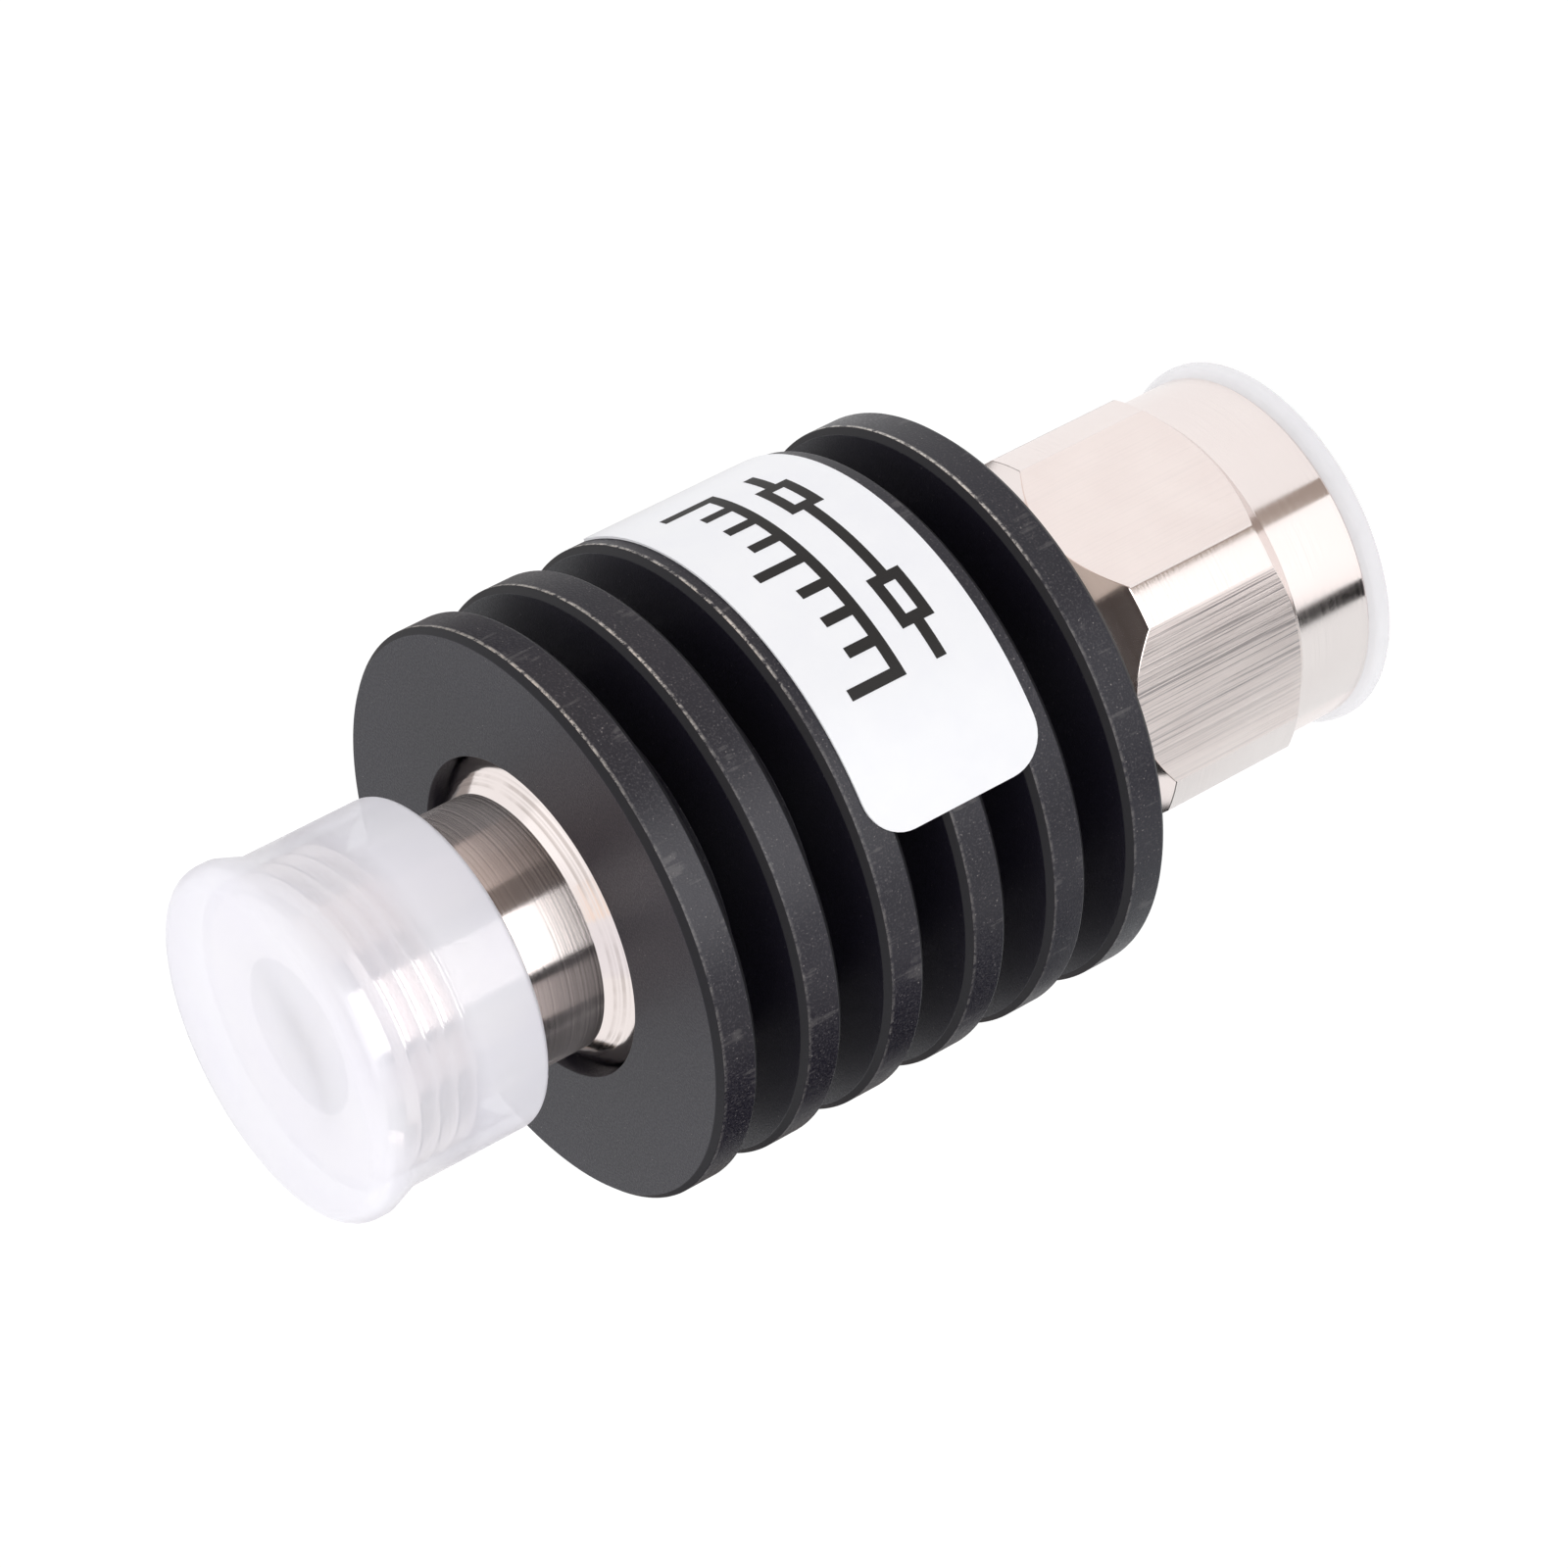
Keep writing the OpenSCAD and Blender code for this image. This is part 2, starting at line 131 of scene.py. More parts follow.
# Socket connector
LINE_R = 3.5
SOCKET_BORE_R = 4.05
MATE_DEPTH = 9.1
BEAD_R = 4.2
BEAD_T = 2
SPIGOT_R = 6.98
SPIGOT_LEN = 5.2
COLLAR_T = 1.3
HEX_R = 8.2
HEX_AF = 15.6
HEX_H = 1.8
HEX_CHAMFER_H = 1.5
HEX_TURN = math.radians(25)
HEX_OVERLAP = 0.5
BARREL_R = 6.7
THREAD_R = 7.9
THREAD_CORE_R = 7.28
THREAD_LEN = 5.4
THREAD_CHAMFER = 0.5
THREAD_PITCH = 25.4 / 24
THREAD_FLANK = math.radians(30)
THREAD_CREST = THREAD_PITCH / 8
# Radius that the thread gains per height where it starts, and the ridge's distances from the thread's two
# ends and under its core
THREAD_RUN_IN = 2
RIDGE_START = 0.2
RIDGE_END = 0.45
RIDGE_SUNK = 0.1

# Coupling nut
NUT_R = 10.6
NUT_AF = 19.4
NUT_TURN = math.radians(-7)
# Painted light on the flats: the flat on which the streaks are painted faint, as light washes them out:
# its direction, and the angles from it over which the painted streaks come and fade
LIT_FLAT_TURN = NUT_TURN - math.radians(90)
STREAKS_COME = (math.radians(26), math.radians(34))
STREAKS_FADE = (math.radians(62), math.radians(76))
RING_R = 9.4
RING_LEN = 4.6
NUT_BACK_R = 8.5
NUT_BACK_LEN = 3.6
NUT_LIP_R = 6.28
NUT_LIP_T = 2.7
NUT_RELIEF_R = 7.9
NUT_THREAD_R = 7.43
NUT_THREAD_LEN = 9.4
NUT_RIDGE_START = 0.5
NUT_MOUTH = 0.2
NUT_EDGE = 0.2

# Dust caps
CAP_BORE_R = 7.98
CAP_R = 8.7
CAP_END_T = 1.7
CAP_LIP_LEN = 1.5
CAP_LIP_ROUND = 1
CAP_FLARE_LEN = 1.5
CAP_DISH_R = 4.7
CAP_DISH_SLOPE_W = 1.4
CAP_DISH_H = 0.5
CAP_ROUND = 0.35
# The clear stretch: its middle, its height, the fade at its ends, and how much it and the rest hide
CAP_CLEAR_Z = RIM_Z - 2.2
CAP_CLEAR_H = 4.2
CAP_CLEAR_FADE = 0.7
CAP_CLEAR_ALPHA = 0.54
CAP_MILKY_ALPHA = 0.75
# The plug's cap: how much it hides, its flange and its skirt
FLANGE_ALPHA = 0.28
FLANGE_T = 0.9
SKIRT_R = 7.345
SKIRT_T = 0.8
SKIRT_EDGE = 0.2


# Materials

def colour(code):
    """Linear colour with full alpha from an sRGB hex code."""
    parts = [int(code[i:i + 2], 16) / 255 for i in (1, 3, 5)]
    return [p / 12.92 if p <= 0.04045 else ((p + 0.055) / 1.055) ** 2.4 for p in parts] + [1]


def per_mm(size):
    """Scale of a texture on Object coordinates whose features are about size millimetres."""
    return 1 / (size * MM)


def set_inputs(tree, node, inputs):
    """Sets the inputs of a node, or links those that are given another node's output."""
    for name, value in inputs.items():
        if isinstance(value, bpy.types.NodeSocket):
            tree.links.new(value, node.inputs[name])
        else:
            node.inputs[name].default_value = value


def add(tree, kind, inputs=None, **settings):
    """A node of that kind with its settings, and with its inputs set or linked."""
    node = tree.nodes.new(kind)
    for name, value in settings.items():
        setattr(node, name, value)
    set_inputs(tree, node, inputs or {})
    return node


def empty_tree(owner):
    """The node tree of a material or world, emptied."""
    owner.use_nodes = True
    owner.node_tree.nodes.clear()
    return owner.node_tree


def new_material(name):
    """A node material, with its tree and its Principled shader linked to the output."""
    material = bpy.data.materials.new(name)
    tree = empty_tree(material)
    shader = add(tree, "ShaderNodeBsdfPrincipled")
    add(tree, "ShaderNodeOutputMaterial", {"Surface": shader.outputs[0]})
    return material, tree, shader


def axis_place(tree):
    """Object coordinates, their parts, and the distance from the axis."""
    place = add(tree, "ShaderNodeTexCoord").outputs["Object"]
    part = add(tree, "ShaderNodeSeparateXYZ", {"Vector": place}).outputs
    flat = add(tree, "ShaderNodeCombineXYZ", {"X": part["X"], "Y": part["Y"]})
    radius = add(tree, "ShaderNodeVectorMath", {0: flat.outputs[0]}, operation="LENGTH").outputs["Value"]
    return place, part, radius


def angle_from(tree, part, turn):
    """How far round the axis a point lies from a direction, to either side."""
    angle = add(tree, "ShaderNodeMath", {0: part["Y"], 1: part["X"]}, operation="ARCTAN2")
    off = add(tree, "ShaderNodeMath", {0: angle.outputs[0], 1: turn}, operation="SUBTRACT")
    return add(tree, "ShaderNodeMath", {0: off.outputs[0]}, operation="ABSOLUTE").outputs[0]


def axial_scratches(tree, place):
    """Scratches along the axis, in patches: noise drawn out, so that only thin lines pass the ramp."""
    drawn = add(tree, "ShaderNodeMapping", {"Vector": place, "Scale": (1, 1, 0.03)})
    lines = add(tree, "ShaderNodeTexNoise",
                {"Vector": drawn.outputs[0], "Scale": per_mm(0.5), "Detail": 3.0, "Roughness": 0.7})
    patch = add(tree, "ShaderNodeTexNoise", {"Vector": place, "Scale": per_mm(1.6), "Detail": 2.0})
    patchy = add(tree, "ShaderNodeMath", {0: lines.outputs[0], 1: patch.outputs[0]}, operation="MULTIPLY")
    return add(tree, "ShaderNodeMapRange",
               {"Value": patchy.outputs[0], "From Min": 0.34, "From Max": 0.4}).outputs[0]


def worn_edges(tree, place, part):
    """Worn fin edges towards the socket, broken into chips, and most on one side as painted highlight."""
    # The height within one fin's pitch, as a distance from that edge
    height = add(tree, "ShaderNodeMath", {0: part["Z"], 1: SINK_Z0 * MM}, operation="SUBTRACT")
    step = add(tree, "ShaderNodeMath", {0: height.outputs[0], 1: FIN_PITCH * MM}, operation="MODULO")
    from_edge = add(tree, "ShaderNodeMath", {0: step.outputs[0], 1: (FIN_T - FIN_CHAMFER) * MM},
                    operation="SUBTRACT")
    off_edge = add(tree, "ShaderNodeMath", {0: from_edge.outputs[0]}, operation="ABSOLUTE")
    near = add(tree, "ShaderNodeMapRange",
               {"Value": off_edge.outputs[0], "From Min": EDGE_WEAR[0] * MM, "From Max": EDGE_WEAR[1] * MM})
    broken = add(tree, "ShaderNodeTexNoise",
                 {"Vector": place, "Scale": per_mm(0.45), "Detail": 5.0, "Roughness": 0.8})
    chipped = add(tree, "ShaderNodeMapRange",
                  {"Value": broken.outputs[0], "From Min": 0.42, "From Max": 0.56})
    wear_and_highlight_side = add(tree, "ShaderNodeMapRange",
               {"Value": angle_from(tree, part, WEAR_AND_HIGHLIGHT_TURN), "From Min": SIDE_WEAR_AND_HIGHLIGHT[0],
                "From Max": SIDE_WEAR_AND_HIGHLIGHT[1], "To Min": 0.12})
    line = add(tree, "ShaderNodeMath", {0: near.outputs[0], 1: chipped.outputs[0]}, operation="MULTIPLY")
    edge = add(tree, "ShaderNodeMath", {0: line.outputs[0], 1: wear_and_highlight_side.outputs[0]}, operation="MULTIPLY")
    return edge.outputs[0]


def black_anodised_aluminium():
    """Turned aluminium, bead blasted and dyed black: a dark satin skin with a fine grain, whose brightest
    grains on the rims are painted lighter as sparkle, thin scratches along the axis on the rims, bare metal
    along the worn edges of the fins, painted strongest on one side as highlight, and a few specks."""
    material, tree, shader = new_material("black_anodised_aluminium")
    place, part, radius = axis_place(tree)
    grain = add(tree, "ShaderNodeTexNoise", {"Vector": place, "Scale": per_mm(0.11), "Detail": 2.0})
    cloud = add(tree, "ShaderNodeTexNoise", {"Vector": place, "Scale": per_mm(7), "Detail": 2.0})
    on_rim = add(tree, "ShaderNodeMapRange",
                 {"Value": radius, "From Min": (FIN_R - RIM_MARKS[0]) * MM,
                  "From Max": (FIN_R - RIM_MARKS[1]) * MM})

    # Bare metal: worn edges, painted strongest on one side as highlight, faint scratches and specks
    edge_rim = add(tree, "ShaderNodeMath", {0: worn_edges(tree, place, part), 1: on_rim.outputs[0]},
                   operation="MULTIPLY")
    rim_scratch = add(tree, "ShaderNodeMath", {0: axial_scratches(tree, place), 1: on_rim.outputs[0]},
                      operation="MULTIPLY")
    faint = add(tree, "ShaderNodeMath", {0: rim_scratch.outputs[0], 1: 0.06}, operation="MULTIPLY")
    speck = add(tree, "ShaderNodeMapRange",
                {"Value": grain.outputs[0], "From Min": 0.7, "From Max": 0.78, "To Max": 0.4})
    chips = add(tree, "ShaderNodeMath", {0: faint.outputs[0], 1: speck.outputs[0]}, operation="MAXIMUM")
    bare = add(tree, "ShaderNodeMath", {0: edge_rim.outputs[0], 1: chips.outputs[0]}, operation="MAXIMUM")

    # Painted sparkle: the brightest grains of the blasted rims are painted lighter, as glints
    grit = add(tree, "ShaderNodeMapRange",
               {"Value": grain.outputs[0], "From Min": 0.5, "From Max": 0.72})
    painted_sparkle = add(tree, "ShaderNodeMath", {0: grit.outputs[0], 1: on_rim.outputs[0]}, operation="MULTIPLY")
    dye = add(tree, "ShaderNodeMix",
              {"Factor": cloud.outputs[0], "A": colour("#15131e"), "B": colour("#1e1b28")}, data_type="RGBA")
    dye_and_painted_sparkle = add(tree, "ShaderNodeMix",
                  {"Factor": painted_sparkle.outputs[0], "A": dye.outputs["Result"], "B": colour("#3a363c")},
                  data_type="RGBA")
    skin = add(tree, "ShaderNodeMix",
               {"Factor": bare.outputs[0], "A": dye_and_painted_sparkle.outputs["Result"], "B": colour("#d9d3cd")},
               data_type="RGBA")
    rough = add(tree, "ShaderNodeMapRange",
                {"Value": grain.outputs[0], "From Min": 0.3, "From Max": 0.7, "To Min": 0.3, "To Max": 0.52})
    bump = add(tree, "ShaderNodeBump",
               {"Height": grain.outputs[0], "Strength": 0.22, "Distance": 0.05 * MM})
    set_inputs(tree, shader, {
        "Base Color": skin.outputs["Result"], "Metallic": bare.outputs[0],
        "Roughness": rough.outputs[0], "IOR": 1.43, "Normal": bump.outputs[0]})
    return material


def turned_nickel(name, smooth, coarse, spread, marks, apart):
    """Brass turned on a lathe and nickel plated: fine rings round the axis spread the reflections along
    it, so that light and dark stand as sharp bands beside each other. Its roughness lies between two
    values, spread is how much further it reflects along the axis than round it, marks is how strongly the
    tool marks show, and apart is their distance in millimetres."""
    material, tree, shader = new_material(name)
    place, part, radius = axis_place(tree)
    # Height and twice the radius, so that the marks run over walls, faces and cones alike
    along = add(tree, "ShaderNodeMath", {0: radius, 1: 2.0, 2: part["Z"]}, operation="MULTIPLY_ADD")
    rings = add(tree, "ShaderNodeTexNoise",
                {"W": along.outputs[0], "Scale": per_mm(apart), "Detail": 3.0}, noise_dimensions="1D")
    grooves = add(tree, "ShaderNodeMapRange",
                  {"Value": rings.outputs[0], "From Min": 0.52, "From Max": 0.34, "To Max": marks})
    cloud = add(tree, "ShaderNodeTexNoise", {"Vector": place, "Scale": per_mm(3), "Detail": 3.0})
    tint = add(tree, "ShaderNodeMix",
               {"Factor": cloud.outputs[0], "A": colour("#ede2df"), "B": colour("#f5ece9")},
               data_type="RGBA")
    patchy = add(tree, "ShaderNodeMapRange", {"Value": cloud.outputs[0], "From Min": 0.38, "From Max": 0.6})
    shown = add(tree, "ShaderNodeMath", {0: grooves.outputs[0], 1: patchy.outputs[0]}, operation="MULTIPLY")
    plate = add(tree, "ShaderNodeMix",
                {"Factor": shown.outputs[0], "A": tint.outputs["Result"], "B": colour("#8f8078")},
                data_type="RGBA")
    rough = add(tree, "ShaderNodeMapRange",
                {"Value": rings.outputs[0], "From Min": 0.3, "From Max": 0.7, "To Min": smooth,
                 "To Max": coarse})
    bump = add(tree, "ShaderNodeBump",
               {"Height": rings.outputs[0], "Strength": marks, "Distance": 0.02 * MM})
    round_axis = add(tree, "ShaderNodeTangent", direction_type="RADIAL", axis="Z")
    set_inputs(tree, shader, {
        "Base Color": plate.outputs["Result"], "Metallic": 1.0, "Roughness": rough.outputs[0],
        "Anisotropic": spread, "Anisotropic Rotation": 0.25, "Tangent": round_axis.outputs[0],
        "Normal": bump.outputs[0]})
    return material


def milled_nickel():
    """The same plate over milled flats: streaks along the axis from the cutter, warm and half matt. How
    strong
    they are is painted light: they are painted fainter on the flat that faces up in the camera's view, as
    light washes them out, and towards the far edges of the flats beside it."""
    material, tree, shader = new_material("milled_nickel_plate")
    place = add(tree, "ShaderNodeTexCoord").outputs["Object"]
    drawn = add(tree, "ShaderNodeMapping", {"Vector": place, "Scale": (1, 1, 0.008)})
    fine = add(tree, "ShaderNodeTexNoise",
               {"Vector": drawn.outputs[0], "Scale": per_mm(0.11), "Detail": 3.0, "Roughness": 0.65})
    part = add(tree, "ShaderNodeSeparateXYZ", {"Vector": place}).outputs
    # Painted light: the streaks are painted faint on the lit flat and fade towards the far edges beside it
    from_lit_flat = angle_from(tree, part, LIT_FLAT_TURN)
    painted_streak_strength = add(tree, "ShaderNodeMapRange",
                 {"Value": from_lit_flat, "From Min": STREAKS_COME[0], "From Max": STREAKS_COME[1],
                  "To Min": 0.05, "To Max": 0.85})
    painted_streak_fade = add(tree, "ShaderNodeMapRange",
                {"Value": from_lit_flat, "From Min": STREAKS_FADE[0], "From Max": STREAKS_FADE[1],
                 "To Min": 1.0, "To Max": 0.3})
    streak = add(tree, "ShaderNodeMapRange", {"Value": fine.outputs[0], "From Min": 0.52, "From Max": 0.36})
    shown = add(tree, "ShaderNodeMath", {0: painted_streak_strength.outputs[0], 1: painted_streak_fade.outputs[0]}, operation="MULTIPLY")
    scored = add(tree, "ShaderNodeMath", {0: streak.outputs[0], 1: shown.outputs[0]}, operation="MULTIPLY")
    cloud = add(tree, "ShaderNodeTexNoise", {"Vector": place, "Scale": per_mm(2.5), "Detail": 3.0})
    plate = add(tree, "ShaderNodeMix",
                {"Factor": cloud.outputs[0], "A": colour("#ecdfdb"), "B": colour("#f4e9e5")},
                data_type="RGBA")
    rough = add(tree, "ShaderNodeMapRange",
                {"Value": fine.outputs[0], "From Min": 0.3, "From Max": 0.7, "To Min": 0.28, "To Max": 0.4})
    bump = add(tree, "ShaderNodeBump",
               {"Height": fine.outputs[0], "Strength": 0.6, "Distance": 0.03 * MM})
    surface = add(tree, "ShaderNodeMix",
                  {"Factor": scored.outputs[0], "A": plate.outputs["Result"], "B": colour("#9d9597")},
                  data_type="RGBA")
    set_inputs(tree, shader, {
        "Base Color": surface.outputs["Result"], "Metallic": 1.0, "Roughness": rough.outputs[0],
        "Normal": bump.outputs[0]})
    return material


def soft_polyethylene(name):
    """Low density polyethylene, moulded thin: milky and see-through, with a cool tint and a soft gloss. The
    pieces made of it set how much they hide."""
    material, tree, shader = new_material(name)
    place = add(tree, "ShaderNodeTexCoord").outputs["Object"]
    cloud = add(tree, "ShaderNodeTexNoise", {"Vector": place, "Scale": per_mm(4), "Detail": 2.0})
    milk = add(tree, "ShaderNodeMix",
               {"Factor": cloud.outputs[0], "A": colour("#f6f4fe"), "B": colour("#fcfbff")},
               data_type="RGBA")
    rough = add(tree, "ShaderNodeMapRange",
                {"Value": cloud.outputs[0], "To Min": 0.29, "To Max": 0.36})
    set_inputs(tree, shader, {
        "Base Color": milk.outputs["Result"], "Roughness": rough.outputs[0], "IOR": 1.5})
    return material, tree, shader


def cap_plastic():
    """The socket's cap: clear where it is drawn tight over the thread, which shows through it, and milky
    towards its free mouth and at its thick end."""
    material, tree, shader = soft_polyethylene("moulded_polyethylene")
    place = add(tree, "ShaderNodeTexCoord").outputs["Object"]
    height = add(tree, "ShaderNodeSeparateXYZ", {"Vector": place}).outputs["Z"]
    off_middle = add(tree, "ShaderNodeMath", {0: height, 1: CAP_CLEAR_Z * MM}, operation="SUBTRACT")
    from_middle = add(tree, "ShaderNodeMath", {0: off_middle.outputs[0]}, operation="ABSOLUTE")
    hidden = add(tree, "ShaderNodeMapRange",
                 {"Value": from_middle.outputs[0], "From Min": (CAP_CLEAR_H / 2 - CAP_CLEAR_FADE) * MM,
                  "From Max": (CAP_CLEAR_H / 2 + CAP_CLEAR_FADE) * MM, "To Min": CAP_CLEAR_ALPHA,
                  "To Max": CAP_MILKY_ALPHA}, interpolation_type="SMOOTHSTEP")
    set_inputs(tree, shader, {"Alpha": hidden.outputs[0]})
    return material


def flange_plastic():
    """The plug's cap, of which the thin flange shows."""
    material, tree, shader = soft_polyethylene("thin_moulded_polyethylene")
    set_inputs(tree, shader, {"Alpha": FLANGE_ALPHA})
    return material


def plain_grained(name, code_a, code_b, grain, inputs):
    """A material of two close tones in a fine grain of that size in millimetres, with its other inputs."""
    material, tree, shader = new_material(name)
    place = add(tree, "ShaderNodeTexCoord").outputs["Object"]
    noise = add(tree, "ShaderNodeTexNoise", {"Vector": place, "Scale": per_mm(grain), "Detail": 3.0})
    tone = add(tree, "ShaderNodeMix",
               {"Factor": noise.outputs[0], "A": colour(code_a), "B": colour(code_b)}, data_type="RGBA")
    bump = add(tree, "ShaderNodeBump",
               {"Height": noise.outputs[0], "Strength": 0.1, "Distance": 0.02 * MM})
    set_inputs(tree, shader, {"Base Color": tone.outputs["Result"], "Normal": bump.outputs[0], **inputs})
    return material


# Black dyed aluminium: blasted, with painted sparkle, and on the chamfers of the fins plain, matt and
# painted darker as shade
BLACK = black_anodised_aluminium()
BLACK_EDGE_PAINTED_SHADE = plain_grained("matt_anodised_aluminium_painted_shade", "#100f14", "#191720", 0.2,
                           {"Roughness": 0.5, "IOR": 1.37})
# Nickel on brass, bright and warm. Tool marks are really about 0.05 mm apart, which is too fine to show, so
# they are drawn 0.12 mm apart, and 0.28 mm on the socket's hexagon, where they show most.
BARREL_NICKEL = turned_nickel("fine_turned_nickel_plate", smooth=0.2, coarse=0.27, spread=1.0, marks=0.16,
                              apart=0.12)
NUT_NICKEL = turned_nickel("turned_nickel_plate", smooth=0.19, coarse=0.26, spread=0.88, marks=0.06,
                           apart=0.12)
CHAMFER_NICKEL = turned_nickel("bright_turned_nickel_plate", smooth=0.1, coarse=0.14, spread=0.5,
                               marks=0.08, apart=0.12)
SCORED_NICKEL = turned_nickel("scored_nickel_plate", smooth=0.1, coarse=0.14, spread=0.5, marks=0.55,
                              apart=0.28)
MILLED = milled_nickel()
# Soft milky plastic
CAP_PLASTIC = cap_plastic()
FLANGE_PLASTIC = flange_plastic()
# Polypropylene film with a satin white face, and the dark matt ink printed on it
FILM = plain_grained("polypropylene_film", "#f3f3f8", "#fafafc", 2, {"Roughness": 0.38, "IOR": 1.49})
INK = plain_grained("printing_ink", "#120e0d", "#1b1615", 0.3, {"Roughness": 0.5, "IOR": 1.42})
# Pieces inside: bright warm gold over brass, matt white fluoropolymer, grey spring steel, matt red
# silicone, yellow machined brass and white alumina
GOLD = plain_grained("gold_plate", "#e3bd6c", "#ecca80", 0.5, {"Metallic": 1.0, "Roughness": 0.22})
BEAD = plain_grained("machined_fluoropolymer", "#efeeea", "#f7f6f2", 0.3, {"Roughness": 0.5, "IOR": 1.36})
SPRING = plain_grained("spring_steel", "#a9acb0", "#bdbfc2", 0.2, {"Metallic": 1.0, "Roughness": 0.3})
SILICONE = plain_grained("silicone_rubber", "#a63a2a", "#b5483a", 0.2, {"Roughness": 0.6, "IOR": 1.41})
BRASS = plain_grained("machined_brass", "#c9a557", "#d6b56c", 0.2, {"Metallic": 1.0, "Roughness": 0.32})
ALUMINA = plain_grained("alumina", "#e9e5db", "#f1eee6", 0.1, {"Roughness": 0.45, "IOR": 1.76})


# Shapes

def arc(centre, radius, start, end, steps=6):
    """Points of radius against height on an arc, from one angle to another, in degrees."""
    turns = [math.radians(start + (end - start) * i / steps) for i in range(steps + 1)]
    return [(centre[0] + radius * math.cos(t), centre[1] + radius * math.sin(t)) for t in turns]


def turned(outline):
    """A closed shape turned about the axis, from its outline of radius against height."""
    shape = bmesh.new()
    points = [shape.verts.new((r, 0, z)) for r, z in outline]
    for one, two in zip(points, points[1:] + points[:1]):
        shape.edges.new((one, two))
    bmesh.ops.spin(shape, geom=shape.verts[:] + shape.edges[:], cent=(0, 0, 0), axis=(0, 0, 1),
                   angle=math.tau, steps=TURN_STEPS, use_merge=True)
    bmesh.ops.remove_doubles(shape, verts=shape.verts, dist=WELD)
    bmesh.ops.dissolve_degenerate(shape, edges=shape.edges, dist=WELD)
    bmesh.ops.recalc_face_normals(shape, faces=shape.faces)
    return shape


def mill_flats(shape, across, turn):
    """Cuts six flats on a turned shape, with the material for flats."""
    for i in range(6):
        direction = turn + math.radians(30 + 60 * i)
        normal = Vector((math.cos(direction), math.sin(direction), 0))
        cut = bmesh.ops.bisect_plane(shape, geom=shape.verts[:] + shape.edges[:] + shape.faces[:],
                                     dist=FLAT_CUT, plane_co=normal * across / 2, plane_no=normal,
                                     clear_outer=True)
        rim = [e for e in cut["geom_cut"] if isinstance(e, bmesh.types.BMEdge)]
        bmesh.ops.edgeloop_fill(shape, edges=rim, mat_nr=FLAT_INDEX)
    bmesh.ops.recalc_face_normals(shape, faces=shape.faces)


def thread_ridge(core_r, crest_r, z0, z1, limit):
    """A helical ridge from one radius to another, with every point kept inside limit(height)."""
    out = 1 if crest_r > core_r else -1
    depth = abs(crest_r - core_r)
    crest = THREAD_CREST / 2
    half = crest + depth * math.tan(THREAD_FLANK)
    sunk = core_r - RIDGE_SUNK * out
    turns = (z1 - z0) / THREAD_PITCH
    steps = round(turns * THREAD_STEPS)
    shape = bmesh.new()
    section = [(sunk, -half), (core_r, -half), (crest_r, -crest), (crest_r, crest), (core_r, half),
               (sunk, half)]
    face = shape.faces.new([shape.verts.new((r, 0, z0 + z)) for r, z in section])
    bmesh.ops.spin(shape, geom=[face], cent=(0, 0, 0), axis=(0, 0, 1), angle=math.tau * turns,
                   dvec=(0, 0, (z1 - z0) / steps), steps=steps)
    for vert in shape.verts:
        radius = vert.co.xy.length
        allowed = limit(vert.co.z)
        if (radius - allowed) * out > 0:
            vert.co.xy *= allowed / radius
    bmesh.ops.recalc_face_normals(shape, faces=shape.faces)
    return shape


def piece(name, shapes, materials, body, nodes, edge_round=EDGE_ROUND):
    """One object from shapes in millimetres, which rides on a body and stands for CAD nodes."""
    whole = bmesh.new()
    for shape in shapes:
        bmesh.ops.scale(shape, vec=(MM, MM, MM), verts=shape.verts)
        part = bpy.data.meshes.new(name)
        shape.to_mesh(part)
        shape.free()
        whole.from_mesh(part)
        bpy.data.meshes.remove(part)
    mesh = bpy.data.meshes.new(name)
    whole.to_mesh(mesh)
    whole.free()
    mesh.shade_smooth()
    mesh.set_sharp_from_angle(angle=SHARP_ANGLE)
    for material in materials:
        mesh.materials.append(material)
    obj = bpy.data.objects.new(name, mesh)
    bpy.context.scene.collection.objects.link(obj)
    if edge_round:
        rounding = obj.modifiers.new("rounded edges", "BEVEL")
        rounding.width = edge_round * MM
        rounding.segments = EDGE_STEPS
        rounding.limit_method = "ANGLE"
        rounding.angle_limit = SHARP_ANGLE
        rounding.harden_normals = True
    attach(obj, body)
    if nodes:
        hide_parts(*nodes)
    return obj


def heat_sink():
    """The finned body: six chamfered discs on a core, with a bore and a recess at each end."""
    outline = [(RECESS_R, SINK_Z0)]
    for i in range(FIN_COUNT):
        low = SINK_Z0 + i * FIN_PITCH
        high = low + FIN_T
        if i > 0:
            outline.append((ROOT_R, low))
        outline += [(FIN_R - FIN_CHAMFER, low), (FIN_R, low + FIN_CHAMFER), (FIN_R, high - FIN_CHAMFER),
                    (FIN_R - FIN_CHAMFER, high)]
        if i < FIN_COUNT - 1:
            outline.append((ROOT_R, high))
    outline += [(RECESS_R, SINK_Z1), (RECESS_R, SINK_Z1 - RECESS_H), (SINK_BORE_R, SINK_Z1 - RECESS_H),
                (SINK_BORE_R, SINK_Z0 + RECESS_H), (RECESS_R, SINK_Z0 + RECESS_H)]
    sink = turned(outline)
    for face in sink.faces:
        if CHAMFER_LEAN[0] < abs(face.normal.z) < CHAMFER_LEAN[1]:
            face.material_index = FIN_CHAMFER_INDEX
    piece("finned_heat_sink", [sink], [BLACK, BLACK_EDGE_PAINTED_SHADE], "main_body", ["heat_sink"])


